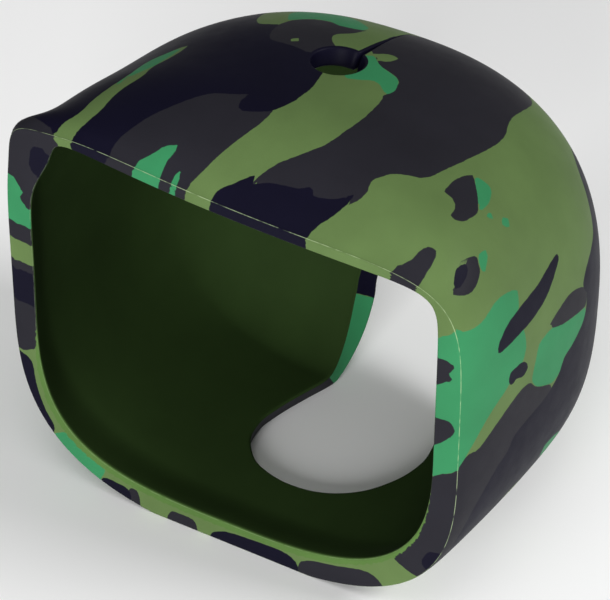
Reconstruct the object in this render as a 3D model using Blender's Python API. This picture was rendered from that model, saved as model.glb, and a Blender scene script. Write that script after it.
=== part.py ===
"""Camouflage silicone protective skin for a compact outdoor camera.

The skin is one moulding, open at the front and at the back. A slit from the roof hole to the rear opening
lets the back spread when the skin goes on, so its two rear flaps are separate nodes on living hinges.
X runs along the front edge, Y runs from the front to the back and Z is up. The skin rests on z = 0.
"""

import math

import bmesh
import bpy

# Driving dimensions, in metres.
FRONT_WIDTH = 0.0700
WIDEST = 0.0762
DEPTH = 0.0575
BROW_HEIGHT = 0.0574
CROWN_HEIGHT = 0.0655
CROWN_AT = 0.0194
MIDDLE_HEIGHT = 0.0286
TAIL_HEIGHT = 0.0355
BULGE_AT = 0.0253
FLOOR_END = 0.0367
UNDERCUT = 0.0006

WALL = 0.0025
RIM_WIDTH = 0.0038
BROW_THICKNESS = 0.0018
RIM_DEPTH = 0.0070
ARRIS = 0.0004

# The left end of the brow stands a little proud of the right one.
LIFT = 0.0032
LIFT_SPREAD = 0.0184
LIFT_DEPTH = 0.0055

HOLE_DIAMETER = 0.0078
HOLE_AT = 0.0285
SLIT_WIDTH = 0.0006
SPLIT_AT = 0.0016

FLOOR_OPENING_CENTRE = (0.0032, 0.0270)
FLOOR_OPENING_RADII = (0.0128, 0.0140)
REAR_GAP_START = 0.0310
# Half widths of the gap between the flaps, at heights above the rest face.
REAR_GAP = ((-0.0100, 0.0074), (0.0115, 0.0070), (0.0260, 0.0056), (0.0400, 0.0026), (0.0540, 0.0005))

HINGE_AT = 0.0340
HINGE_GAP = 0.0003
HINGE_SIDE = 0.0374

# Powers of the superellipse sections: a high power gives a square corner.
BROW_POWER = 6.6
ROOF_POWER = 2.44
FLOOR_POWER = 2.85
MOUTH_POWER = 14.0
POWER_BLEND = 0.0084

# Powers of the long curves: brow to crown, crown to tail, floor to tail, and the plan.
BROW_RISE = 2.76
ROOF_FALL = 2.6
FLOOR_RISE = 1.73
PLAN_POWER = 2.4
BULGE_EASE = 0.69

SECTION_POINTS = 80
FRONT_RINGS = 14
REAR_RINGS = 16
PAST = 0.0200

SILICONE_GREEN = (0.105, 0.215, 0.062, 1.0)


def clear_scene():
    """Remove every object that is already in the scene."""
    for old in list(bpy.data.objects):
        bpy.data.objects.remove(old, do_unlink=True)


def new_collection(name):
    """Make a collection in the scene."""
    collection = bpy.data.collections.new(name)
    bpy.context.scene.collection.children.link(collection)
    return collection


def silicone(name):
    """Matt, slightly satin silicone rubber."""
    material = bpy.data.materials.new(name)
    material.use_nodes = True
    shader = material.node_tree.nodes["Principled BSDF"]
    shader.inputs["Base Color"].default_value = SILICONE_GREEN
    shader.inputs["Roughness"].default_value = 0.48
    shader.inputs["Metallic"].default_value = 0.0
    return material


def smooth(value):
    """Ease a 0 to 1 value in and out."""
    value = min(max(value, 0.0), 1.0)
    return value * value * (3.0 - 2.0 * value)


def mix(first, second, share):
    """Blend two values."""
    return first + (second - first) * share


def fall(share, power):
    """Quarter of a superellipse: 1 at the start, 0 at the end."""
    share = min(max(share, 0.0), 1.0)
    return (1.0 - share ** power) ** (1.0 / power)


def roof(y, depth=DEPTH, drop=0.0):
    """Height of the roof line at a depth: a quick rise from the brow, then a long fall to the tail."""
    crown = CROWN_HEIGHT - drop
    if y < CROWN_AT:
        return crown - (CROWN_HEIGHT - BROW_HEIGHT) * (1.0 - max(y, 0.0) / CROWN_AT) ** BROW_RISE
    return TAIL_HEIGHT + (crown - TAIL_HEIGHT) * fall((y - CROWN_AT) / (depth - CROWN_AT), ROOF_FALL)


def floor(y, depth=DEPTH, rise=0.0):
    """Height of the floor line at a depth, before its lowest part is flattened."""
    low = rise - UNDERCUT
    return TAIL_HEIGHT - (TAIL_HEIGHT - low) * fall((y - FLOOR_END) / (depth - FLOOR_END), FLOOR_RISE)


def half_width(y, depth=DEPTH, inset=0.0):
    """Half of the width at a depth."""
    bulge = math.sin(min(max(y, 0.0) / BULGE_AT, 1.0) ** BULGE_EASE * math.pi / 2)
    wide = mix(FRONT_WIDTH, WIDEST, bulge) / 2 - inset
    return wide * fall((y - BULGE_AT) / (depth - BULGE_AT), PLAN_POWER)


def lift(x, y, z):
    """Raise the left end of the brow, and let it stand out sideways by a quarter as much."""
    near = math.exp(-((x + FRONT_WIDTH / 2) ** 2 + (z - BROW_HEIGHT) ** 2) / (2 * LIFT_SPREAD ** 2))
    rise = LIFT * near * math.exp(-((y / LIFT_DEPTH) ** 2))
    return (x - rise / 4, y, z + rise)


def section(y, half, low, high, upper_power):
    """One closed section across the skin: two half superellipses, flattened at the rest face."""
    middle = mix(low, high, MIDDLE_HEIGHT / BROW_HEIGHT)
    points = []
    for step in range(SECTION_POINTS):
        angle = 2.0 * math.pi * step / SECTION_POINTS
        across, up = math.cos(angle), math.sin(angle)
        power, reach = (upper_power, high - middle) if up > 0.0 else (FLOOR_POWER, middle - low)
        x = half * math.copysign(abs(across) ** (2.0 / power), across)
        z = middle + reach * math.copysign(abs(up) ** (2.0 / power), up)
        points.append(lift(x, y, z))
    return points


def loft(name, rings, collection):
    """Skin a closed body over rings of matching points, with a point in the middle of each end."""
    mesh = bmesh.new()
    loops = [[mesh.verts.new(point) for point in ring] for ring in rings]
    for near, far in zip(loops, loops[1:]):
        for index in range(SECTION_POINTS):
            after = (index + 1) % SECTION_POINTS
            mesh.faces.new((near[index], near[after], far[after], far[index]))
    for loop in (loops[0], loops[-1]):
        middle = [sum(vert.co[axis] for vert in loop) / len(loop) for axis in range(3)]
        centre = mesh.verts.new(middle)
        for index in range(SECTION_POINTS):
            mesh.faces.new((loop[index], loop[(index + 1) % SECTION_POINTS], centre))
    bmesh.ops.recalc_face_normals(mesh, faces=mesh.faces)
    data = bpy.data.meshes.new(name)
    mesh.to_mesh(data)
    mesh.free()
    body = bpy.data.objects.new(name, data)
    collection.objects.link(body)
    return body


def depths(depth):
    """Ring positions: even along the front half, closer together toward the tail."""
    turn = depth / 2
    front = [turn * step / FRONT_RINGS for step in range(FRONT_RINGS)]
    share = [math.sin(math.pi / 2 * step / REAR_RINGS) for step in range(REAR_RINGS)]
    return front + [mix(turn, depth, value) for value in share]


def roof_power(y):
    """Power of the upper corners at a depth: square at the brow, rounder behind."""
    return mix(ROOF_POWER, BROW_POWER, math.exp(-max(y, 0.0) / POWER_BLEND))


def outer_rings():
    """Sections of the outside, with the arris at the front edge taken off."""
    rings = []
    for y in [0.0, ARRIS] + depths(DEPTH)[1:]:
        inset = ARRIS if y == 0.0 else 0.0
        ring = section(y, half_width(y) - inset, floor(y) + inset, roof(y) - inset, roof_power(y))
        rings.append([(x, depth, max(z, inset)) for x, depth, z in ring])
    return rings


def inner_rings():
    """Sections of the hollow: the mouth inside the rim and brow, then an even wall to the tail."""
    rings = []
    inner_depth = DEPTH - WALL
    for y in [-PAST] + depths(inner_depth):
        rim = 1.0 - smooth(y / RIM_DEPTH)
        side = mix(WALL, RIM_WIDTH, rim)
        top = mix(WALL, BROW_THICKNESS, rim)
        upper = mix(roof_power(y), MOUTH_POWER, rim)
        low = floor(y, inner_depth, side + UNDERCUT)
        high = roof(y, inner_depth, top)
        rings.append(section(y, half_width(y, inner_depth, side), low, high, upper))
    return rings


def box(name, low, high, collection):
    """Axis-aligned box between two corners."""
    bpy.ops.mesh.primitive_cube_add(size=1.0)
    body = bpy.context.active_object
    body.name = name
    body.scale = [top - bottom for bottom, top in zip(low, high)]
    body.location = [(top + bottom) / 2 for bottom, top in zip(low, high)]
    return move_to(body, collection)


def cylinder(name, radii, centre, low, high, collection):
    """Upright round or oval post."""
    bpy.ops.mesh.primitive_cylinder_add(vertices=64, radius=1.0, depth=1.0)
    body = bpy.context.active_object
    body.name = name
    body.scale = (radii[0], radii[1], high - low)
    body.location = (centre[0], centre[1], (low + high) / 2)
    return move_to(body, collection)


def rear_gap(name, collection):
    """Solid that parts the flaps: wide at the underside and closing to the slit at the crown."""
    right = [(SPLIT_AT + half, height) for height, half in REAR_GAP]
    left = [(SPLIT_AT - half, height) for height, half in reversed(REAR_GAP)]
    mesh = bmesh.new()
    outline = [mesh.verts.new((x, REAR_GAP_START, z)) for x, z in right + left]
    face = mesh.faces.new(outline)
    swept = bmesh.ops.extrude_face_region(mesh, geom=[face])
    moved = [item for item in swept["geom"] if isinstance(item, bmesh.types.BMVert)]
    bmesh.ops.translate(mesh, verts=moved, vec=(0.0, DEPTH, 0.0))
    bmesh.ops.recalc_face_normals(mesh, faces=mesh.faces)
    data = bpy.data.meshes.new(name)
    mesh.to_mesh(data)
    mesh.free()
    body = bpy.data.objects.new(name, data)
    collection.objects.link(body)
    return body


def move_to(body, collection):
    """Put an object in one collection only."""
    for holder in list(body.users_collection):
        holder.objects.unlink(body)
    collection.objects.link(body)
    return body


def hide_cutter(body):
    """Cutters are shown as wires and never rendered."""
    body.display_type = "WIRE"
    body.hide_render = True


def carve(body, cutter, operation):
    """Add one exact boolean to a body."""
    modifier = body.modifiers.new(f"{operation.title()} {cutter.name}", "BOOLEAN")
    modifier.operation = operation
    modifier.solver = "EXACT"
    modifier.object = cutter


def make_cutters(collection):
    """Every hollow and opening of the skin."""
    floor_x, floor_y = FLOOR_OPENING_CENTRE
    half_slit = SLIT_WIDTH / 2
    left_of_slit, right_of_slit = SPLIT_AT - half_slit, SPLIT_AT + half_slit
    behind = DEPTH + PAST
    above = CROWN_HEIGHT + PAST
    floor_top = MIDDLE_HEIGHT / 2
    cutters = [
        loft("hollow", inner_rings(), collection),
        cylinder("floor_opening", FLOOR_OPENING_RADII, (floor_x, floor_y), -PAST, floor_top, collection),
        rear_gap("rear_gap", collection),
        box("slit", (left_of_slit, HOLE_AT, TAIL_HEIGHT), (right_of_slit, behind, above), collection),
        cylinder("roof_hole", [HOLE_DIAMETER / 2] * 2, (0.0, HOLE_AT), TAIL_HEIGHT, above, collection),
    ]
    for cutter in cutters:
        hide_cutter(cutter)
    return cutters


def skin_piece(name, region, cutters, collection):
    """One piece of the moulding: the outside, hollowed and opened, kept where the region box is."""
    body = loft(name, outer_rings(), collection)
    carve(body, region, "INTERSECT")
    for cutter in cutters:
        carve(body, cutter, "DIFFERENCE")
    body.data.materials.append(silicone(f"{name}_silicone"))
    for polygon in body.data.polygons:
        polygon.use_smooth = False
    return body


def build():
    """Make the skin and its two flaps."""
    clear_scene()
    parts = new_collection("camouflage_silicone_skin")
    tools = new_collection("cutters")
    cutters = make_cutters(tools)
    reach = WIDEST / 2 + PAST
    top = CROWN_HEIGHT + PAST
    front = HINGE_AT - HINGE_GAP / 2
    back = HINGE_AT + HINGE_GAP / 2
    body_region = box("body_region", (-reach, -PAST, -PAST), (reach, front, top), tools)
    hide_cutter(body_region)
    skin_piece("skin_body", body_region, cutters, parts)
    for name, side in (("left_flap", -1.0), ("right_flap", 1.0)):
        near, far = sorted((SPLIT_AT, side * reach))
        region = box(f"{name}_region", (near, back, -PAST), (far, DEPTH + PAST, top), tools)
        hide_cutter(region)
        flap = skin_piece(name, region, cutters, parts)
        hinge = bpy.data.objects.new(f"{name}_hinge", None)
        hinge.location = (side * HINGE_SIDE, HINGE_AT, MIDDLE_HEIGHT)
        parts.objects.link(hinge)
        flap.location = [-value for value in hinge.location]
        flap.parent = hinge


build()
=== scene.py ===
"""Looks of the camouflage silicone camera skin: one printed moulding with a mouth, a hole and a slit.

The moulding is a thin wall wrapped round a camera-shaped hollow. Every point on it has wrap coordinates:
a wrap angle in degrees (0 on the roof's centre line, 90 on the right side, 180 on the floor's centre line,
negative on the left) and a depth in millimetres, measured along the side from the front edge to the tail.
A negative depth lies on the front face, between the outer and the inner edge of the rim.
Shapes are worked out in millimetres and handed to Blender in metres.
"""

import math

import bpy
import numpy as np
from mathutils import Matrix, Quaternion, Vector
from mathutils.geometry import delaunay_2d_cdt


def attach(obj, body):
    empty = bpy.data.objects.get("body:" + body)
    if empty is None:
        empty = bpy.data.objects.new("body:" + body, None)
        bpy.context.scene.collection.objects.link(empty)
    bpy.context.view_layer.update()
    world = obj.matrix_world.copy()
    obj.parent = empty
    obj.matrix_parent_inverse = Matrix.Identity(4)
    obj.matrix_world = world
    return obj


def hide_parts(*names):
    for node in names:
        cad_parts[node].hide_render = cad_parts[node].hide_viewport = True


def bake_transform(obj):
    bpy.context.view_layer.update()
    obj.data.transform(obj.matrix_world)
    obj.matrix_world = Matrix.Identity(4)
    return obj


MM = 0.001

# The moulding, in millimetres.
FRONT_WIDTH = 70.0
WIDEST = 76.2
DEPTH = 57.5
BROW_HEIGHT = 57.4
CROWN_HEIGHT = 65.5
CROWN_AT = 19.4
MIDDLE_HEIGHT = 28.6
TAIL_HEIGHT = 35.5
BULGE_AT = 25.3
FLOOR_END = 36.7
UNDERCUT = 0.6
WALL = 2.5
RIM_WIDTH = 3.8
BROW_THICKNESS = 1.8
RIM_DEPTH = 7.0

# The left end of the brow stands proud of the right one, and ends in a small lug.
# For each swelling: its centre across and up, its way out and up, its spread, and its reach backwards.
SWELLS = ((-35.0, 57.4, 0.3, 3.2, 18.4, 5.5), (-32.5, 55.2, 1.3, 1.0, 2.8, 4.0))
# At the mouth the hollow's edge leans in behind that end, and out at the lower left, where the rim is thin.
# For each lean: its centre across and up, the shift across and up, and its spread across and up.
LEANS = ((-31.0, 57.6, 4.6, 0.0, 6.0, 4.3), (-25.0, 8.0, -1.2, -0.9, 10.0, 10.0))
LEAN_DEPTH = 6.0

# Powers of the superellipse sections and of the long curves.
BROW_POWER = 6.6
ROOF_POWER = 2.44
FLOOR_POWER = 2.85
MOUTH_POWER = 14.0
POWER_BLEND = 8.4
BROW_RISE = 2.76
ROOF_FALL = 2.6
FLOOR_RISE = 1.73
PLAN_POWER = 2.4
BULGE_EASE = 0.69

# Edges are rounded by these radii.
ARRIS = 0.4
OPENING_ROUND = 0.4

# The opening: a round roof hole, a slit that leaves it, and a gap that widens down the back into the floor.
HOLE_RADIUS = 4.1
HOLE_DEPTH = 28.9
# Where the hole's round starts and ends, in degrees from its rear point, on each side of the slit.
HOLE_TURNS = (33.0, 372.0)
# Wrap angle and depth along each side of the slit and gap, from the hole to the front of the floor opening.
RIGHT_EDGE = (
    (3.7, 35), (3.7, 42), (3.4, 52), (5, 62), (14, 71), (43, 76.3), (90, 77.4), (143, 70.6), (157, 62),
    (160.5, 54), (160, 46), (156, 38), (153.5, 32.3), (152.7, 27.3), (155, 22.4), (160, 18), (166.3, 15.2),
    (173, 13.9),
)
LEFT_EDGE = (
    (1.7, 35), (2.7, 42), (2.5, 52), (0.5, 62), (-3, 71), (-14, 77.8), (-90, 80.6), (-155, 72), (-164, 64),
    (-167, 56), (-169.3, 52.6), (-170.7, 48), (-170.7, 43), (-170, 38.9), (-167.8, 33.9), (-165.6, 28.3),
    (-164.8, 24), (-166.5, 19.5), (-172, 15.6), (-179.6, 13.9),
)
# The walls of the hole and slit are painted navy as shade on the roof half of the skin, up to this depth.
ROOF_HALF = 90.0
SHADED_WALL_TO = 58.0
# The left flap's edge slants: its inner side stands back by this many degrees of wrap. The slant is
# strongest at one wrap angle, fades on both sides of it, and grows between two depths.
SLANT = 6.0
SLANT_WRAP = -168.0
SLANT_SPREAD = 12.0
SLANT_FROM = 36.0
SLANT_TO = 54.0
# Wrap angle of the slit: the flaps part here.
SLIT_WRAP = 3.0

# Mesh spacing in millimetres, and the parts of it taken between rings, taken along the opening's outline,
# and kept clear round that outline.
SPACING = 0.7
RING_STEP = 0.9
OUTLINE_STEP = 0.8
CLEARANCE = 0.55
# Points closer than this on the flat map count as one.
MERGE = 1e-7
# Points round the hole, steps across an edge's flat, and the turns of its rounds.
HOLE_POINTS = 49
FACE_STEPS = 5
QUARTER = [math.radians(angle) for angle in (22.5, 45.0, 67.5, 90.0)]
# Samples along a section and along the plan, and the size of the tables read from them.
SECTION_SAMPLES = 2001
PLAN_SAMPLES = 4001
TABLE_RINGS = 331
TABLE_TURNS = 361
# Keeps a division by zero away.
TINY = 1e-12

# How strongly the rows of the front face carry wear and a painted highlight: the middle of the outer round,
# and the middle of the inner one.
WEAR_HIGHLIGHT_ROWS = {1: 1.0, 10: 0.7}
# Cover is how far inside the print a point is, in millimetres, and negative where it is bare. This much is
# well inside, and the larger value marks a wall painted navy as shade.
FULL_COVER = 9.0
SHADED_WALL_COVER = 18.0
# Marks a point that isn't in the hollow, where the others hold their depth.
NOT_INSIDE = -1.0
# Millimetres on the skin for each degree of wrap, about the same from the front edge to the middle.
DEGREE = 0.63

# Along Y: the flaps' pieces begin at the seam.
SEAM_AT = 29.5

# The camera, in degrees and millimetres, and the point it looks at.
CAMERA_AIM = (-3.0, 25.3, 25.6)
CAMERA_AZIMUTH = 30.44
CAMERA_ELEVATION = 37.27
CAMERA_DISTANCE = 455.8
CAMERA_ROLL = 0.47
CAMERA_LENS = 190.2
CAMERA_CLIP = (0.01, 20.0)

# Soft lights: name, place in metres, watts, and the side of the square in metres.
LIGHTS = (
    ("key", (0.25, -0.97, 0.26), 12.0, 0.5),
    ("top", (0.10, -0.40, 1.05), 2.4, 0.6),
    ("side", (0.85, 0.30, 0.68), 7.5, 0.4),
)
WORLD_COLOUR = (1.0, 1.0, 1.0, 1.0)
WORLD_STRENGTH = 0.24

# The floor, in metres.
FLOOR_SIZE = 6.0
FLOOR_COLOUR = (0.94, 0.94, 0.94, 1.0)
FLOOR_ROUGHNESS = 0.9

# Colours of the print and of the silicone under it, with the hollow's painted shade and the rounds' wear and
# painted highlight.
COLOURS = {
    "olive": (0.088, 0.142, 0.047, 1.0),
    "green": (0.029, 0.184, 0.074, 1.0),
    "dark": (0.0148, 0.0143, 0.0190, 1.0),
    "navy": (0.0034, 0.0030, 0.0105, 1.0),
    "silicone": (0.073, 0.142, 0.036, 1.0),
    # inside is the same silicone, painted darker as shade in the hollow.
    "inside": (0.0175, 0.0350, 0.0085, 1.0),
    # This colour is wear and a painted highlight along the front face's rounds.
    "wear_highlight": (0.330, 0.420, 0.240, 1.0),
}
# The inks printed over olive, from the lowest to the uppermost.
INKS = ("green", "dark", "navy")

# The shader's noises: waves per metre, and detail.
BORDER_NOISE = (900.0, 3.0)
FRAY_NOISE = (1400.0, 5.0)
WEAR_HIGHLIGHT_NOISE = (700.0, 3.0)
CLOUD_NOISE = (120.0, 4.0)
GRAIN_NOISE = (5200.0, 2.0)
SATIN_NOISE = (400.0, 3.0)
# Millimetres that the borders between inks and the print's own border wander over, and half of their blur.
BORDER_WANDER = 0.25
BORDER_BLUR = 0.05
FRAY = 1.0
FRAY_BLUR = 0.08
# Painted shade comes in over this many millimetres of depth in the hollow.
HOLLOW_SHADE_FADE = 1.0
# Wear and its painted highlight fall off beside their rows by this power. Noise has no effect at a band's low
# end and its full effect at the high end.
WEAR_HIGHLIGHT_POWER = 3.0
WEAR_HIGHLIGHT_BAND = (0.3, 0.6)
CLOUD_BAND = (0.2, 0.8)
# The brightness of the darkest clouds, and what the brightest add to it.
CLOUD_LEAST = 0.92
CLOUD_SWING = 0.16
# The grain of the surface (its depth in metres), its roughness and its shine.
GRAIN_STRENGTH = 0.10
GRAIN_DEPTH = 0.0001
SATIN_LEAST = 0.42
SATIN_SWING = 0.14
BARE_DULLNESS = 0.35
SPECULAR = 0.06

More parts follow.
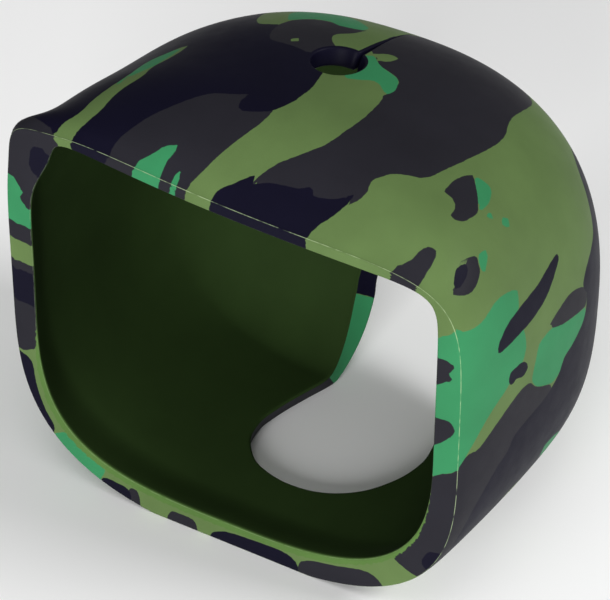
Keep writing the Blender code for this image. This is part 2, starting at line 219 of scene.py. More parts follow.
# The print, and one painted shadow, in this order over olive: colour, and an outline in wrap angle and depth.
PRINT = (
    # Roof, left of the hole.
    ("navy", ((-47, -5), (-12, -5), (-9, 3), (-6, 8), (-4, 12), (-1, 14.7), (0.5, 17), (1, 21), (0, 25),
              (-3, 29), (-5, 33), (-10, 37), (-17, 37), (-21, 33.7), (-27, 36), (-33, 44), (-45, 48),
              (-58, 40), (-62, 30), (-54, 20), (-52, 8), (-56, 2))),
    ("dark", ((-30, -5), (-29, 1.5), (-26, 5.2), (-24, 7.6), (-19, 11.6), (-16, 13.7), (-11, 14.8),
              (-8, 16.1), (-9, 13.7), (-8, 12.2), (-4, 13.1), (-1.6, 14.4), (-2, 11.2), (-5, 6.9),
              (-7, 4.1), (-8, 2.6), (-10, 0.5), (-10, -5))),
    ("olive", ((-43.5, -9), (-42.5, 1), (-39, 4.2), (-39, 8.2), (-37, 14.3), (-38, 19.7), (-35, 23.4),
               (-33, 25.5), (-32.5, 22), (-34, 17), (-33, 14.2), (-35, 9.9), (-35, 5.4), (-36.4, 2.7),
               (-38.4, 0.6), (-38.4, -9))),
    ("green", ((-38, 9.7), (-37, 14.3), (-38, 19.7), (-35, 23.4), (-33.5, 24), (-33.5, 21), (-34, 17),
               (-36, 14.5), (-37, 11.5))),
    ("dark", ((-76, -9), (-43.6, -9), (-42.2, 1), (-45, 1.5), (-50, 3), (-58, 6), (-68, 9), (-74, 4),
              (-66, -0.5), (-72, -4))),
    # Not print: navy painted on the front face under the lug, as the shadow in the notch there.
    ("navy", ((-57, -2.4), (-51, -2), (-48, -3), (-47, -6), (-50, -8), (-51, -5), (-58, -3.6))),
    ("green", ((-23, -5), (-23, 0.9), (-20, 2.3), (-18, 4), (-15, 4.8), (-15, 3.2), (-16, 2.2),
               (-16, -5))),
    ("green", ((-14, -5), (-14, 1.3), (-13, 1.9), (-10.8, 2.5), (-12, 1.2), (-12, -5))),
    # Roof, behind the hole.
    ("dark", ((-3, 31.9), (-6, 28), (-11, 28.8), (-17, 28.9), (-19, 31.2), (-20, 34.2), (-19, 37.4),
              (-16, 39.4), (-12, 40), (-9, 39), (-4, 40), (-3, 41.2), (-4, 37.7), (-7, 35.5), (-6, 33.7),
              (-4, 32.3))),
    ("green", ((-20, 36.8), (-24, 41), (-26, 46), (-18, 48), (-8, 44), (-3.5, 41.7), (-4, 39.5), (-9, 39),
               (-12, 40), (-16, 39.6), (-19, 37.4))),
    ("olive", ((-27, 35.8), (-28, 37.4), (-30, 42), (-26, 46), (-24, 41), (-20, 36.8), (-20, 34.8),
               (-24, 33.6))),
    ("olive", ((-13.2, 30.6), (-12, 29.8), (-10.9, 30.6), (-12, 31.5))),
    # Roof, right of the hole.
    ("dark", ((1, 1), (5, 6.1), (10, 9.2), (13, 11.6), (15, 17.6), (15, 23.4), (14, 24.8), (15.5, 26.5),
              (14, 29.5), (8, 30.9), (5, 33), (2, 35), (3, 45), (6, 52), (14, 60), (30, 58), (40, 48),
              (36.5, 36), (39, 30.3), (38, 25), (36, 19.1), (34, 13), (28, 11.3), (25, 8.8), (26, 7),
              (25, 5.5), (20, 3.2), (10, 1))),
    ("green", ((4, 25), (8, 26.1), (10, 27), (12, 26.5), (15, 24.6), (15.5, 26.5), (14, 29.5), (8, 30.9),
               (5, 33), (3, 32))),
    ("olive", ((5, 33), (7.5, 32), (9, 33), (9.7, 34.8), (7, 34.8), (5.4, 34))),
    ("navy", ((-4, -5), (-4, 1.2), (-1, 2.6), (3, 4.6), (3, 3.2), (6, 4.2), (13, 4.7), (15, 5.5),
              (16, 4.4), (20, 4.8), (22, 5.5), (24, 6.4), (24, 5.6), (22, 3), (20, 1.8), (19, 0.5),
              (19, -5))),
    # Right side.
    ("dark", ((39, -5), (39, 1.5), (41, 1.7), (41, 2.5), (42, 4.6), (44, 4.9), (45, 4.1), (45.5, -5))),
    ("dark", ((38, 12.7), (38, 16.6), (39, 18.8), (40, 19.8), (41, 18.8), (43, 17.3), (46, 14.4),
              (45, 11), (43, 10), (42, 10.4), (42, 12.1), (40, 13.2))),
    ("green", ((40, 19.8), (44, 20.6), (46, 18.1), (46, 14.6), (44, 16.3), (42, 18))),
    ("green", ((47.0, 15.9), (48, 15.0), (49.0, 15.9), (48, 16.9))),
    ("green", ((49.6, 17.9), (51, 16.7), (52.4, 17.9), (51, 19.1))),
    ("dark", ((49, 5.7), (50, 7.3), (51, 8.9), (52, 8.4), (54, 7.6), (55, 6.1), (55, 4.5), (54, 3.4),
              (52, 2.1), (51, 2.5))),
    ("navy", ((50, 6.3), (51, 6.6), (52, 5.4), (52.4, 4), (52, 3), (51, 2.9), (50, 3.7), (49.2, 4.9))),
    ("green", ((51, 9.1), (52, 11.3), (53.5, 10), (55, 8.2), (53, 8.1))),
    ("green", ((60.5, -5), (58, -0.6), (57, 0.7), (59, 1), (61, 2.9), (62, 4.9), (61, 8.7), (63, 13.8),
               (66, 13.3), (68, 12.7), (74, 13.9), (77, 14.2), (80, 13.4), (83, 10.2), (86, 6), (90, 2.6),
               (94, -0.5), (99, -5))),
    ("dark", ((64, -5), (66, -0.6), (69, -2), (70, -0.9), (74, -5))),
    ("dark", ((82, -5), (81, -1.9), (82.5, -0.6), (86, -1.6), (91, -5))),
    ("navy", ((64, 25.8), (65.5, 25.4), (67, 23.9), (70, 20.7), (72, 16.7), (73, 11.4), (73, 7.8),
              (72, 7.2), (70, 7.8), (68, 9.8), (67, 14), (66, 19.5), (64.5, 23))),
    ("green", ((78, 21.1), (80, 24), (81, 27.7), (82, 31.7), (85, 30.8), (88, 27.2), (89, 24.7),
               (92, 23.8), (93, 21.7), (90, 17.1), (87, 15.6), (82, 16.7), (79, 17.3))),
    ("dark", ((77, 20.2), (76, 22), (75, 24.3), (74.5, 27), (76, 30.6), (79, 32), (82, 31.7), (81, 27.7),
              (80, 24), (78.5, 21.2))),
    ("navy", ((82, 9.8), (80, 10.1), (80, 13.4), (82, 14.7), (83.5, 14.3), (84, 13.2), (83, 11.6),
              (84, 10.8))),
    ("dark", ((94, -0.5), (91, 1.8), (93, 3.7), (91, 6.7), (87, 12.8), (87, 15.3), (90, 17.1), (93, 21.7),
              (97, 21), (110, 8), (124, 4), (130, -1), (132, -5), (99, -5))),
    ("navy", ((54, 46), (57, 42.6), (62, 41.1), (69, 38.7), (71, 35.7), (73, 32.6), (76, 30.4), (79, 32),
              (82, 31.7), (85, 30.8), (88, 27.2), (89, 24.7), (92, 23.8), (95, 20.5), (97, 14), (98, 12),
              (101, 10.8), (103, 8.1), (109, 4.5), (113, 3.2), (120, 2), (136, 4), (142, 18), (132, 34),
              (114, 46), (96, 60), (74, 64), (58, 56))),
    ("green", ((112, 23), (112.5, 27), (115, 30), (119, 28), (118, 24))),
    # Back.
    ("dark", ((-14, 50), (-20, 54), (-18, 60), (-30, 64), (-34, 70), (-52, 72), (-60, 66), (-78, 68),
              (-92, 62), (-88, 56), (-70, 58), (-62, 54), (-48, 57), (-40, 50), (-28, 52), (-22, 47))),
    ("green", ((-44, 43), (-50, 48), (-62, 46), (-68, 52), (-82, 50), (-96, 54), (-104, 48), (-90, 43),
               (-80, 45), (-70, 39), (-58, 41), (-50, 38))),
    ("navy", ((-88, 60), (-104, 56), (-112, 61), (-124, 54), (-138, 58), (-148, 66), (-136, 72),
              (-120, 70), (-112, 75), (-96, 72), (-84, 68))),
    ("green", ((-8, 64), (-24, 74), (-50, 76), (-80, 74), (-96, 78), (-50, 81), (-16, 76))),
    ("green", ((12, 60), (20, 66), (34, 64), (44, 70), (60, 68), (74, 73), (56, 77), (36, 75), (18, 73),
               (8, 66))),
    ("dark", ((54, 60), (66, 66), (84, 62), (96, 66), (112, 60), (128, 62), (140, 56), (136, 66),
              (120, 72), (100, 70), (88, 75), (68, 73))),
    ("green", ((96, 50), (108, 48), (120, 52), (134, 44), (144, 49), (138, 56), (126, 59), (112, 56))),
    # Left side and underside.
    ("dark", ((-106, 2), (-98, 4), (-94, 2), (-92, 6), (-97, 9), (-92, 14), (-94, 20), (-86, 24),
              (-80, 32), (-84, 40), (-92, 36), (-98, 40), (-104, 33), (-100, 26), (-108, 20), (-104, 12),
              (-111, 8))),
    ("navy", ((-94, 1), (-85, 1), (-84, 6), (-77, 8), (-74, 14), (-64, 18), (-58, 26), (-66, 31),
              (-72, 26), (-78, 29), (-82, 20), (-88, 19), (-87, 11))),
    ("green", ((-145, 1), (-134, 2), (-128, 7), (-120, 8), (-114, 15), (-106, 22), (-110, 32), (-118, 27),
               (-122, 33), (-130, 24), (-128, 17), (-138, 12))),
    ("dark", ((-124, 40), (-130, 34), (-128, 28), (-140, 26), (-150, 30), (-158, 28), (-164, 36),
              (-154, 40), (-150, 47), (-138, 44), (-132, 48))),
    ("navy", ((152, 6), (170, 5), (187, 7), (196, 13), (186, 12), (166, 11), (150, 12))),
    ("olive", ((118, 16), (126, 14), (132, 20), (128, 28), (121, 24))),
    # Round the left flap's edge.
    ("navy", ((-178, 52.6), (-164, 52.6), (-154, 58), (-158, 65), (-172, 66))),
    ("green", ((-178, 39), (-166, 39.5), (-157, 44), (-158, 49), (-164, 52.6), (-178, 52.6))),
    ("dark", ((-178, 19), (-163, 19), (-155, 26), (-156, 36), (-166, 39.5), (-178, 39.5))),
    ("dark", ((138, 24), (147, 28), (148, 44), (138, 54), (131, 40))),
    # Lower rim, from the right corner round to the left side.
    ("navy", ((120, -1.8), (118, 0.3), (126, 0.8), (125, -1.6))),
    ("dark", ((139, 2), (141, -3.2), (162, -3.2), (162, 3))),
    ("navy", ((162, 4), (162, -3.2), (185, -2.2), (186, 4))),
    ("dark", ((188, 3), (189, -2.2), (197, -2.1), (196, 3))),
    ("dark", ((203, 2), (205, -2.8), (208, -2.4), (208, 2))),
    ("navy", ((206, 2), (207, -2.3), (215, -1.4), (215, 2))),
    ("green", ((-145, 3), (-145, -4), (-130, -3), (-130, 3))),
    ("navy", ((-130, 4), (-130, -1.3), (-120, -1.6), (-108, -2.4), (-107, 4))),
    ("dark", ((-107, 3), (-107, -3.2), (-95, -7), (-93, 3))),
    ("navy", ((-93, 4), (-95, -7), (-86, -7), (-84.5, 4))),
    ("dark", ((-86, 4), (-86.5, -7), (-84.5, -7), (-83, 4))),
    ("dark", ((-78, 2), (-79.5, -7), (-75, -7), (-74, 2))),
    ("green", ((-74, 3), (-75.5, -7), (-70.5, -7), (-69, -3.1), (-67, -2.6), (-66, -3.5), (-63, -1.7),
               (-62, 3))),
)

# How far a colour runs on under the one printed over it, in millimetres.
OVERLAP = 0.2

# How far the print stops short of the rim's inner edge, in millimetres, at wrap angles.
UNPRINTED = ((-180, 1.0), (-150, 1.0), (-125, 1.2), (-112, 0.8), (-100, -0.4), (-90, -1.0), (60, -1.0),
             (100, -0.2), (118, 0.5), (150, 1.0), (180, 1.0))


def smooth(value):
    """Ease a 0 to 1 value in and out."""
    value = np.clip(value, 0.0, 1.0)
    return value * value * (3.0 - 2.0 * value)


def mix(first, second, share):
    """Blend two values."""
    return first + (second - first) * share


def fall(share, power):
    """Quarter of a superellipse: 1 at the start, 0 at the end."""
    share = np.clip(share, 0.0, 1.0)
    return (1.0 - share ** power) ** (1.0 / power)


def roof(y, depth=DEPTH, drop=0.0):
    """Height of the roof line: a rise from the brow, then a long fall to the tail."""
    crown = CROWN_HEIGHT - drop
    if y < CROWN_AT:
        return crown - (CROWN_HEIGHT - BROW_HEIGHT) * (1.0 - y / CROWN_AT) ** BROW_RISE
    return TAIL_HEIGHT + (crown - TAIL_HEIGHT) * fall((y - CROWN_AT) / (depth - CROWN_AT), ROOF_FALL)


def floor(y, depth=DEPTH, rise=0.0):
    """Height of the floor line, before its lowest part is flattened."""
    low = rise - UNDERCUT
    return TAIL_HEIGHT - (TAIL_HEIGHT - low) * fall((y - FLOOR_END) / (depth - FLOOR_END), FLOOR_RISE)


def half_width(y, depth=DEPTH, inset=0.0):
    """Half of the width."""
    bulge = np.sin(np.clip(y / BULGE_AT, 0.0, 1.0) ** BULGE_EASE * math.pi / 2)
    wide = mix(FRONT_WIDTH, WIDEST, bulge) / 2 - inset
    return wide * fall((y - BULGE_AT) / (depth - BULGE_AT), PLAN_POWER)


def roof_power(y):
    """Power of the upper corners: square at the brow, rounder behind."""
    return mix(ROOF_POWER, BROW_POWER, math.exp(-y / POWER_BLEND))


def lifted(points):
    """Raise the left end of the brow, and let it stand out a little."""
    x, y, z = points.T
    aside = np.zeros_like(x)
    up = np.zeros_like(z)
    for across, height, out, rise, spread, reach in SWELLS:
        away = (x - across) ** 2 + (z - height) ** 2
        near = np.exp(-away / (2 * spread ** 2)) * np.exp(-((y / reach) ** 2))
        aside += out * near
        up += rise * near
    return np.stack([x - aside, y, z + up], axis=1)


def half_section(y, half, low, high, upper_power):
    """Right half of a section from the roof centre to the floor centre, in even steps of its own length."""
    turn = np.linspace(0.0, math.pi, SECTION_SAMPLES)
    across, up = np.sin(turn), np.cos(turn)
    middle = mix(low, high, MIDDLE_HEIGHT / BROW_HEIGHT)
    power = np.where(up > 0.0, upper_power, FLOOR_POWER)
    reach = np.where(up > 0.0, high - middle, middle - low)
    x = half * np.abs(across) ** (2.0 / power)
    z = middle + reach * np.sign(up) * np.abs(up) ** (2.0 / power)
    length = np.concatenate([[0.0], np.cumsum(np.hypot(np.diff(x), np.diff(z)))])
    even = np.linspace(0.0, length[-1], TABLE_TURNS)
    x, z = np.interp(even, length, x), np.interp(even, length, z)
    return np.stack([x, np.full(TABLE_TURNS, y), z], axis=1)


def plan_path():
    """Depth along the side, and the Y that each depth reaches."""
    y = DEPTH * np.sin(np.linspace(0.0, math.pi / 2, PLAN_SAMPLES))
    x = half_width(y)
    along = np.concatenate([[0.0], np.cumsum(np.hypot(np.diff(y), np.diff(x)))])
    return along, y


ALONG, ALONG_Y = plan_path()
TAIL = ALONG[-1]
TABLE_DEPTHS = np.linspace(0.0, TAIL, TABLE_RINGS)


def outer_table():
    """Sections of the outside, one for each table depth."""
    rings = []
    for y in np.interp(TABLE_DEPTHS, ALONG, ALONG_Y):
        rings.append(half_section(y, half_width(y), floor(y), roof(y), roof_power(y)))
    return np.array(rings)


def inner_table():
    """Sections of the hollow: a thicker rim at the mouth, then an even wall."""
    rings = []
    inner_depth = DEPTH - WALL
    for y in np.interp(TABLE_DEPTHS, ALONG, ALONG_Y) * inner_depth / DEPTH:
        rim = 1.0 - smooth(y / RIM_DEPTH)
        side = mix(WALL, RIM_WIDTH, rim)
        low = floor(y, inner_depth, side + UNDERCUT)
        high = roof(y, inner_depth, mix(WALL, BROW_THICKNESS, rim))
        power = mix(roof_power(y), MOUTH_POWER, rim)
        rings.append(half_section(y, half_width(y, inner_depth, side), low, high, power))
    return np.array(rings)


def place(table, wrap, depth):
    """Points of a surface at wrap angles and depths."""
    row = np.clip(depth / TAIL, 0.0, 1.0) * (TABLE_RINGS - 1)
    column = np.clip(np.abs(wrap) / 180.0, 0.0, 1.0) * (TABLE_TURNS - 1)
    low_row = np.minimum(row.astype(int), TABLE_RINGS - 2)
    low_column = np.minimum(column.astype(int), TABLE_TURNS - 2)
    down, sideways = (row - low_row)[:, None], (column - low_column)[:, None]
    near = mix(table[low_row, low_column], table[low_row, low_column + 1], sideways)
    far = mix(table[low_row + 1, low_column], table[low_row + 1, low_column + 1], sideways)
    points = mix(near, far, down)
    points[:, 0] *= np.where(wrap < 0.0, -1.0, 1.0)
    return lifted(points)


def slanted(wrap, depth):
    """Wrap angles of the hollow, drawn back beside the left flap's edge."""
    near = np.exp(-((wrap - SLANT_WRAP) / SLANT_SPREAD) ** 2)
    return wrap + SLANT * near * smooth((depth - SLANT_FROM) / (SLANT_TO - SLANT_FROM))


def leaned(points):
    """Lean the hollow's edge in and out, at the mouth."""
    x, y, z = points.T
    aside = np.zeros_like(x)
    up = np.zeros_like(z)
    for across, height, shift, rise, wide, tall in LEANS:
        away = ((x - across) / wide) ** 2 + ((z - height) / tall) ** 2
        near = np.exp(-away / 2) * np.exp(-((y / LEAN_DEPTH) ** 2))
        aside += shift * near
        up += rise * near
    return np.stack([x + aside, y, z + up], axis=1)


def girth(depth):
    """Half of the outside's girth at depths, in millimetres."""
    halves = np.linalg.norm(np.diff(OUTER, axis=1), axis=2).sum(axis=1)
    return np.interp(depth, TABLE_DEPTHS, halves)


OUTER = outer_table()
INNER = inner_table()


def outside(wrap, depth):
    """Points of the outside, flattened where the skin rests."""
    points = place(OUTER, wrap, depth)
    points[:, 2] = np.maximum(points[:, 2], 0.0)
    return points


def on_map(wrap, depth):
    """Flat map of the skin with the tail in its middle and the front edge as its rim."""
    angle = np.radians(wrap)
    return np.stack([(TAIL - depth) * np.sin(angle), (TAIL - depth) * np.cos(angle)], axis=1)


def off_map(points):
    """Wrap angles and depths of points on the flat map."""
    return np.degrees(np.arctan2(points[:, 0], points[:, 1])), TAIL - np.hypot(points[:, 0], points[:, 1])


def curve_through(points, spacing):
    """Smooth curve through points, in steps of about the spacing."""
    count = len(points)
    made = []
    for index in range(count - 1):
        before, start = points[max(index - 1, 0)], points[index]
        end, after = points[index + 1], points[min(index + 2, count - 1)]
        steps = max(2, int(np.linalg.norm(end - start) / spacing))
        for share in np.arange(steps) / steps:
            square, cube = share ** 2, share ** 3
            made.append(0.5 * (2 * start + (end - before) * share
                               + (2 * before - 5 * start + 4 * end - after) * square
                               + (3 * start - before - 3 * end + after) * cube))
    made.append(points[-1])
    return np.array(made)


def even_steps(points, spacing):
    """Closed line cut into even steps."""
    loop = np.vstack([points, points[:1]])
    length = np.concatenate([[0.0], np.cumsum(np.linalg.norm(np.diff(loop, axis=0), axis=1))])
    even = np.linspace(0.0, length[-1], int(length[-1] / spacing) + 1)[:-1]
    return np.stack([np.interp(even, length, loop[:, axis]) for axis in range(2)], axis=1)


def opening_outline():
    """The opening's outline on the flat map: round the hole, down one side and up the other."""
    turns = np.radians(np.linspace(*HOLE_TURNS, HOLE_POINTS))
    degrees_per_mm = 180.0 / girth(HOLE_DEPTH)
    hole_wrap = HOLE_RADIUS * np.sin(turns) * degrees_per_mm
    hole_depth = HOLE_DEPTH + HOLE_RADIUS * np.cos(turns)
    hole = on_map(hole_wrap, hole_depth)
    right = on_map(*np.array(RIGHT_EDGE).T)
    left = on_map(*np.array(LEFT_EDGE).T)
    sides = curve_through(np.vstack([right, left[::-1]]), SPACING / 2)
    return even_steps(np.vstack([hole[::-1], sides]), SPACING * OUTLINE_STEP)


def inside_loop(points, loop):
    """Whether points on the flat map lie inside a closed line."""
    inside = np.zeros(len(points), bool)
    x, y = points[:, 0], points[:, 1]
    for (ax, ay), (bx, by) in zip(loop, np.roll(loop, -1, axis=0)):
        crosses = (ay > y) != (by > y)
        if crosses.any():
            inside ^= crosses & (x < (bx - ax) * (y - ay) / (by - ay + TINY) + ax)
    return inside


def away_from(points, loop):
    """Distance from points to the nearest point of a loop."""
    nearest = np.full(len(points), np.inf)
    for corner in loop:
        nearest = np.minimum(nearest, np.hypot(*(points - corner).T))
    return nearest


def map_points(outline):
    """Points of the front edge, and points spread evenly over the rest of the skin."""
    rings = []
    for depth in np.arange(ARRIS, TAIL - SPACING, SPACING * RING_STEP):
        count = int(2 * girth(depth) / SPACING)
        wrap = np.linspace(-180.0, 180.0, count, endpoint=False)
        rings.append(on_map(wrap, np.full(count, depth)))
    front, rest = rings[0], np.vstack(rings[1:])
    rest = rest[~inside_loop(rest, outline)]
    rest = rest[away_from(rest, outline) > SPACING * CLEARANCE]
    return front, rest


def stitch(rows):
    """Triangles between closed rows of vertex numbers."""
    triangles = []
    for near, far in zip(rows, rows[1:]):
        near_next, far_next = np.roll(near, -1), np.roll(far, -1)
        triangles.append(np.stack([near, near_next, far_next], axis=1))
        triangles.append(np.stack([near, far_next, far], axis=1))
    return np.vstack(triangles)


def unit(vectors):
    """Vectors at length 1."""
    return vectors / np.maximum(np.linalg.norm(vectors, axis=1, keepdims=True), TINY)


def edge_rows(first, last):
    """Rows over an edge: its first round, the flat, and its last round."""
    flat = [mix(first[-1], last[-1], step / FACE_STEPS) for step in range(1, FACE_STEPS)]
    return first + flat + last[::-1]


def front_rows(outer_edge, inner_edge):
    """Rows over the front face, from the outside to the hollow. Each round's radius is its edge's own Y."""
    across = unit((outer_edge - inner_edge) * (1.0, 0.0, 1.0))
    forward = np.array([0.0, -1.0, 0.0])
    outer_round, inner_round = outer_edge[:, 1:2], inner_edge[:, 1:2]
    outer_centre = outer_edge - across * outer_round
    inner_centre = inner_edge + across * inner_round
    first, last = [], []
    for turn in QUARTER:
        first.append(outer_centre + outer_round * (across * math.cos(turn) + forward * math.sin(turn)))
        last.append(inner_centre + inner_round * (forward * math.sin(turn) - across * math.cos(turn)))
    return edge_rows(first, last)


def opening_rows(outer_edge, inner_edge):
    """Rows over the wall's edge at the opening, from the outside to the hollow."""
    normal = unit(outer_edge - inner_edge)
    along = unit(np.roll(outer_edge, -1, axis=0) - np.roll(outer_edge, 1, axis=0))
    outward = unit(np.cross(normal, along))
    first, last = [], []
    for turn in QUARTER:
        out, back = outward * math.sin(turn), normal * (1.0 - math.cos(turn))
        first.append(outer_edge + OPENING_ROUND * (out - back))
        last.append(inner_edge + OPENING_ROUND * (out + back))
    return edge_rows(first, last)


class Moulding:
    """Points of the moulding with the values they carry, and its triangles."""

    def __init__(self):
        self.points = []
        self.values = {"wrap": [], "depth": [], "cover": [], "wear_and_highlight": []}
        self.triangles = []
        self.count = 0

    def add(self, points, wrap, depth, cover, wear_and_highlight):
        """Add points and return their numbers."""
        for held, value in zip(self.values.values(), (wrap, depth, cover, wear_and_highlight)):
            held.append(np.broadcast_to(value, len(points)))
        self.points.append(points)
        numbers = np.arange(self.count, self.count + len(points))
        self.count += len(points)
        return numbers

    def arrays(self):
        """Everything as whole arrays."""
        values = {name: np.concatenate(parts) for name, parts in self.values.items()}
        return np.vstack(self.points), values, np.vstack(self.triangles)


def evened(values, reach=10):
    """Mean of each value of a closed row and its neighbours."""
    return np.mean([np.roll(values, step) for step in range(-reach, reach + 1)], axis=0)


def half_turned(angle):
    """Angles brought to between -180 and 180 degrees."""
    return (angle + 180.0) % 360.0 - 180.0


def skin_map(outline, front, rest):
    """Points of the flat map, the outline's and the front's first, and the triangles outside the opening."""
    points = [Vector(point) for point in np.vstack([outline, front, rest])]
    edges = [(index, (index + 1) % len(outline)) for index in range(len(outline))]
    found = delaunay_2d_cdt(points, edges, [], 0, MERGE)
    flat = np.array([tuple(point) for point in found[0]])
    triangles = np.array(found[2])
    return flat, triangles[~inside_loop(flat[triangles].mean(axis=1), outline)]


def close_front(skin, outer, inner, wrap, ends):
    """Close the front face between its outer and inner edge. The ends are those edges' point numbers."""
    width = np.linalg.norm(outer - inner, axis=1)
    margin = np.interp(wrap, *np.array(UNPRINTED).T)
    numbers = [ends[0]]
    for index, row in enumerate(front_rows(outer, inner)):
        away = np.linalg.norm(row[:, None] - outer[None], axis=2)
        turned = evened(half_turned(wrap[away.argmin(axis=1)] - wrap))
        behind = evened(away.min(axis=1))
        cover = width - np.linalg.norm(row - outer, axis=1) - margin
        numbers.append(skin.add(row, wrap + turned, -behind, cover, WEAR_HIGHLIGHT_ROWS.get(index, 0.0)))
    # The front edge runs the other way round the skin than the opening does.
    skin.triangles.append(stitch(numbers + [ends[1]])[:, ::-1])


def close_opening(skin, outer, inner, wrap, depth, ends):
    """Close the wall's edge round the opening. The print ends where the edge's inner round begins, except on
    the roof half, where the whole edge is painted navy as shade.
    """
    shaded_wall = (np.abs(wrap) < ROOF_HALF) & (depth < SHADED_WALL_TO)
    numbers = [ends[0]]
    for index, row in enumerate(opening_rows(outer, inner)):
        cover = FULL_COVER if index < len(QUARTER) + FACE_STEPS else -FULL_COVER
        numbers.append(skin.add(row, wrap, depth, np.where(shaded_wall, SHADED_WALL_COVER, cover), 0.0))
    skin.triangles.append(stitch(numbers + [ends[1]]))


def build_moulding():
    """The whole moulding as one closed surface."""
    outline = opening_outline()
    front, rest = map_points(outline)
    flat, triangles = skin_map(outline, front, rest)
    wrap, depth = off_map(flat)
    outer = outside(wrap, depth)
    inner = leaned(place(INNER, slanted(wrap, depth), depth))

    skin = Moulding()
    outer_numbers = skin.add(outer, wrap, depth, FULL_COVER, 0.0)
    inner_numbers = skin.add(inner, wrap, depth, -FULL_COVER, 0.0)
    skin.triangles += [triangles[:, ::-1], triangles + len(flat)]

    edge = np.arange(len(outline), len(outline) + len(front))
    ends = (outer_numbers[edge], inner_numbers[edge])
    close_front(skin, outer[edge], inner[edge], wrap[edge], ends)

    edge = np.arange(len(outline))
    ends = (outer_numbers[edge], inner_numbers[edge])
    close_opening(skin, outer[edge], inner[edge], wrap[edge], depth[edge], ends)
    return skin.arrays()


def chaikin(outline, times=2, cut=0.18):
    """Outline with its corners cut off a little, as a print's are."""
    for _ in range(times):
        after = np.roll(outline, -1, axis=0)
        pairs = np.stack([mix(outline, after, cut), mix(outline, after, 1.0 - cut)], axis=1)
        outline = pairs.reshape(-1, 2)
    return outline


def inset_from(points, outline):
    """How far points lie inside an outline, negative outside."""
    nearest = np.full(len(points), np.inf)
    for start, end in zip(outline, np.roll(outline, -1, axis=0)):
        side = end - start
        share = np.clip(((points - start) @ side) / max(side @ side, TINY), 0.0, 1.0)
        nearest = np.minimum(nearest, np.hypot(*(points - start - share[:, None] * side).T))
    return np.where(inside_loop(points, outline), nearest, -nearest)


def paint(wrap, depth):
    """How far every point lies inside each ink, in millimetres. An olive outline takes the inks away."""
    fields = {name: np.full(len(wrap), -FULL_COVER) for name in INKS}
    for colour, outline in PRINT:
        outline = chaikin(np.array(outline, float))
        for lap in (-360.0, 0.0, 360.0):
            turned = outline + (lap, 0.0)
            low = turned.min(axis=0) - FULL_COVER
            high = turned.max(axis=0) + FULL_COVER
            near = np.flatnonzero((wrap > low[0]) & (wrap < high[0]) & (depth > low[1]) & (depth < high[1]))
            if not len(near):
                continue
            places = np.stack([wrap[near], depth[near]], axis=1)
            inset = inset_from(places * (DEGREE, 1.0), turned * (DEGREE, 1.0))
            kept = -inset if colour == "olive" else OVERLAP - inset
            for name, field in fields.items():
                if name == colour:
                    field[near] = np.maximum(field[near], inset)
                else:
                    field[near] = np.minimum(field[near], kept)
    return fields


def point_normals(points, triangles):
    """Normal of every point, from the triangles round it."""
    corners = points[triangles]
    faces = np.cross(corners[:, 1] - corners[:, 0], corners[:, 2] - corners[:, 0])
    normals = np.zeros_like(points)
    for corner in range(3):
        np.add.at(normals, triangles[:, corner], faces)
    return unit(normals)


def make_piece(name, points, normals, fields, triangles, material):
    """One piece of the moulding as a smooth mesh that carries its print fields."""
    used, local = np.unique(triangles, return_inverse=True)
    mesh = bpy.data.meshes.new(name)
    mesh.from_pydata((points[used] * MM).tolist(), [], local.reshape(-1, 3).tolist())
    mesh.polygons.foreach_set("use_smooth", [True] * len(mesh.polygons))
    for field, values in fields.items():
        attribute = mesh.attributes.new(field, "FLOAT", "POINT")
        attribute.data.foreach_set("value", values[used].astype(np.float32))
    mesh.normals_split_custom_set_from_vertices(normals[used].tolist())
    mesh.materials.append(material)
    piece = bpy.data.objects.new(name, mesh)
    bpy.context.scene.collection.objects.link(piece)
    return piece


def add_node(tree, kind, values=None, **settings):
    """Add a shader node with settings and socket values. A socket value that is a socket is linked."""
    node = tree.nodes.new(kind)
    for name, value in settings.items():
        setattr(node, name, value)
    for socket, value in (values or {}).items():
        if isinstance(value, bpy.types.NodeSocket):
            tree.links.new(value, node.inputs[socket])
        else:
            node.inputs[socket].default_value = value
    return node


def field_of(tree, name):
    """A number that the mesh carries."""
    return add_node(tree, "ShaderNodeAttribute", attribute_name=name).outputs["Fac"]


def arithmetic(tree, operation, first, second):
    """One step of arithmetic on two values."""
    return add_node(tree, "ShaderNodeMath", {0: first, 1: second}, operation=operation).outputs[0]


def stepped(tree, value, low, high):
    """0 below low, 1 above high, eased between them."""
    values = {"Value": value, "From Min": low, "From Max": high}
    return add_node(tree, "ShaderNodeMapRange", values, interpolation_type="SMOOTHSTEP").outputs["Result"]


def noise(tree, kind):
    """Noise of a kind (waves per metre, detail), fixed to the piece."""
    position = add_node(tree, "ShaderNodeTexCoord").outputs["Object"]
    values = {"Vector": position, "Scale": kind[0], "Detail": kind[1]}
    return add_node(tree, "ShaderNodeTexNoise", values).outputs["Fac"]


def wander(tree, kind, reach):
    """Noise centred on zero, over a reach in millimetres."""
    centred = arithmetic(tree, "SUBTRACT", noise(tree, kind), 0.5)
    return arithmetic(tree, "MULTIPLY", centred, reach)


def tinted(tree, share, first, second):
    """Mix of two colours."""
    return add_node(tree, "ShaderNodeMix", {0: share, 6: first, 7: second}, data_type="RGBA").outputs[2]


def print_colour(tree):
    """The inks in their order over olive, with slightly uneven borders."""
    uneven = wander(tree, BORDER_NOISE, BORDER_WANDER)
    colour = COLOURS["olive"]
    for name in INKS:
        edge = arithmetic(tree, "ADD", field_of(tree, name), uneven)
        colour = tinted(tree, stepped(tree, edge, -BORDER_BLUR, BORDER_BLUR), colour, COLOURS[name])
    return colour


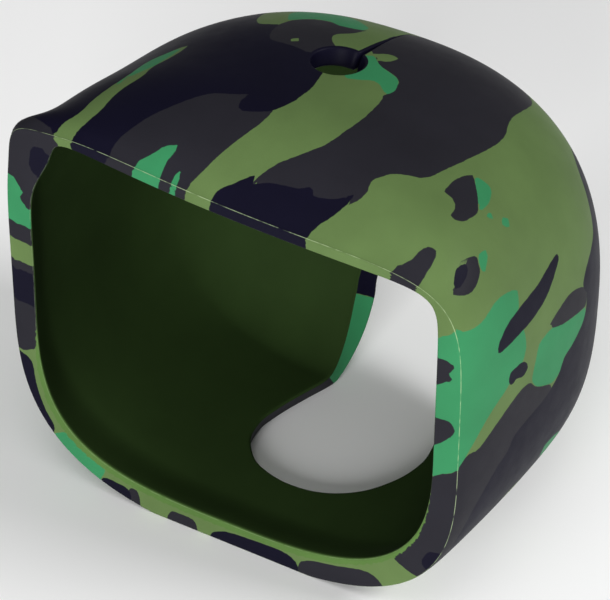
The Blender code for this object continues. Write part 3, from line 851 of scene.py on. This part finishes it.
def bare_colour_and_hollow_shade(tree):
    """Silicone without print: plain green, and a darker green painted in the hollow as shade."""
    hollow_shade_share = stepped(tree, field_of(tree, "hollow_shade_depth"), 0.0, HOLLOW_SHADE_FADE)
    return tinted(tree, hollow_shade_share, COLOURS["silicone"], COLOURS["inside"])


def printed_share(tree):
    """1 on the print and 0 where the silicone is bare, with a frayed border."""
    frayed = arithmetic(tree, "ADD", field_of(tree, "cover"), wander(tree, FRAY_NOISE, FRAY))
    return stepped(tree, frayed, -FRAY_BLUR, FRAY_BLUR)


def wear_highlight_share(tree):
    """Patchy wear and painted highlight along the rounds of the front face."""
    line = arithmetic(tree, "POWER", field_of(tree, "wear_and_highlight"), WEAR_HIGHLIGHT_POWER)
    return arithmetic(tree, "MULTIPLY", line, stepped(tree, noise(tree, WEAR_HIGHLIGHT_NOISE), *WEAR_HIGHLIGHT_BAND))


def clouded(tree, colour):
    """A colour with faint lighter and darker clouds."""
    cloudy = stepped(tree, noise(tree, CLOUD_NOISE), *CLOUD_BAND)
    shade = arithmetic(tree, "ADD", arithmetic(tree, "MULTIPLY", cloudy, CLOUD_SWING), CLOUD_LEAST)
    return add_node(tree, "ShaderNodeHueSaturation", {"Color": colour, "Value": shade}).outputs["Color"]


def satin(tree, printed):
    """Uneven satin roughness, duller where the silicone is bare."""
    uneven = arithmetic(tree, "MULTIPLY", noise(tree, SATIN_NOISE), SATIN_SWING)
    dull = arithmetic(tree, "MULTIPLY", arithmetic(tree, "SUBTRACT", 1.0, printed), BARE_DULLNESS)
    return arithmetic(tree, "ADD", arithmetic(tree, "ADD", uneven, SATIN_LEAST), dull)


def grain(tree):
    """Fine grain of the surface, as a bumped normal."""
    values = {"Height": noise(tree, GRAIN_NOISE), "Strength": GRAIN_STRENGTH, "Distance": GRAIN_DEPTH}
    return add_node(tree, "ShaderNodeBump", values).outputs["Normal"]


def silicone_skin():
    """Satin silicone with a camouflage print, painted shade in the hollow and on the opening's roof-half
    walls, and wear with a painted highlight on the front face's rounds.
    """
    material = bpy.data.materials.new("printed_silicone")
    material.use_nodes = True
    tree = material.node_tree
    shader = tree.nodes["Principled BSDF"]
    printed = printed_share(tree)
    # The bare colour carries the hollow's painted shade.
    colour = tinted(tree, printed, bare_colour_and_hollow_shade(tree), print_colour(tree))
    # Wear and a painted highlight lighten the rounds of the front face.
    colour = tinted(tree, wear_highlight_share(tree), colour, COLOURS["wear_highlight"])
    tree.links.new(clouded(tree, colour), shader.inputs["Base Color"])
    tree.links.new(grain(tree), shader.inputs["Normal"])
    tree.links.new(satin(tree, printed), shader.inputs["Roughness"])
    shader.inputs["Specular IOR Level"].default_value = SPECULAR
    return material


def skin_fields(values):
    """Numbers that the mesh carries for the shader: inks, with navy also on walls painted as shade, cover,
    wear and painted highlight, and depth in the hollow for its painted shade.
    """
    cover = values["cover"]
    fields = paint(values["wrap"], values["depth"])
    # Walls of the hole and slit on the roof half: navy painted as shade.
    fields["navy"] = np.where(cover == SHADED_WALL_COVER, FULL_COVER, fields["navy"])
    fields["cover"] = cover
    fields["wear_and_highlight"] = values["wear_and_highlight"]
    # Depth in the hollow, which the shader turns into painted shade.
    fields["hollow_shade_depth"] = np.where(cover <= -FULL_COVER, values["depth"], NOT_INSIDE)
    return fields


def make_skin():
    """The moulding as pieces that meet without a seam: the body, and a flap on each side of the slit."""
    points, values, triangles = build_moulding()
    normals = point_normals(points, triangles)
    fields = skin_fields(values)
    material = silicone_skin()
    rear = points[triangles].mean(axis=1)[:, 1] > SEAM_AT
    right = values["wrap"][triangles].mean(axis=1) > SLIT_WRAP
    body = make_piece("skin_front", points, normals, fields, triangles[~rear], material)
    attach(body, "body")
    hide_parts("skin_body")
    for name, chosen in (("left_flap", rear & ~right), ("right_flap", rear & right)):
        flap = make_piece(f"{name}_skin", points, normals, fields, triangles[chosen], material)
        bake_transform(flap)
        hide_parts(name)


def make_floor():
    """Plain pale floor."""
    bpy.ops.mesh.primitive_plane_add(size=FLOOR_SIZE)
    plane = bpy.context.active_object
    plane.name = "floor"
    material = bpy.data.materials.new("pale_floor")
    material.use_nodes = True
    shader = material.node_tree.nodes["Principled BSDF"]
    shader.inputs["Base Color"].default_value = FLOOR_COLOUR
    shader.inputs["Roughness"].default_value = FLOOR_ROUGHNESS
    plane.data.materials.append(material)


def make_light(name, location, energy, size):
    """One square soft light that faces the skin."""
    lamp = bpy.data.lights.new(name, "AREA")
    lamp.energy = energy
    lamp.size = size
    light = bpy.data.objects.new(name, lamp)
    light.location = location
    toward = Vector(CAMERA_AIM) * MM - Vector(location)
    light.rotation_euler = toward.to_track_quat("-Z", "Y").to_euler()
    bpy.context.scene.collection.objects.link(light)


def make_lights():
    """Soft studio light: an even dome, a wide key at the front, a top light and a side light."""
    world = bpy.data.worlds.new("studio")
    world.use_nodes = True
    background = world.node_tree.nodes["Background"]
    background.inputs["Color"].default_value = WORLD_COLOUR
    background.inputs["Strength"].default_value = WORLD_STRENGTH
    bpy.context.scene.world = world
    for light in LIGHTS:
        make_light(*light)


def show_plain_colours():
    """Show the colours as they are, without the film look that Blender starts with."""
    bpy.context.scene.view_settings.view_transform = "Standard"


def make_camera():
    """Camera at the product shot's angle."""
    azimuth, elevation = math.radians(CAMERA_AZIMUTH), math.radians(CAMERA_ELEVATION)
    back = Vector((math.sin(azimuth) * math.cos(elevation), -math.cos(azimuth) * math.cos(elevation),
                   math.sin(elevation)))
    data = bpy.data.cameras.new("camera")
    data.lens = CAMERA_LENS
    data.clip_start, data.clip_end = CAMERA_CLIP
    camera = bpy.data.objects.new("camera", data)
    camera.location = (Vector(CAMERA_AIM) + back * CAMERA_DISTANCE) * MM
    level = back.to_track_quat("Z", "Y")
    camera.rotation_mode = "QUATERNION"
    camera.rotation_quaternion = level @ Quaternion((0.0, 0.0, 1.0), math.radians(CAMERA_ROLL))
    bpy.context.scene.collection.objects.link(camera)
    bpy.context.scene.camera = camera


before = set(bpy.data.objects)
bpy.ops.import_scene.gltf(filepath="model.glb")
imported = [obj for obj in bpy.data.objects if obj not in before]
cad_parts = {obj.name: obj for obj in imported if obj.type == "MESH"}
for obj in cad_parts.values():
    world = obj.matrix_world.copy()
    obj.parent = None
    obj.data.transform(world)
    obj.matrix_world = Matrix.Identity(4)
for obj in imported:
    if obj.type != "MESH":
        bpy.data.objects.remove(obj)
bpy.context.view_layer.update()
make_skin()
make_floor()
make_lights()
show_plain_colours()
make_camera()
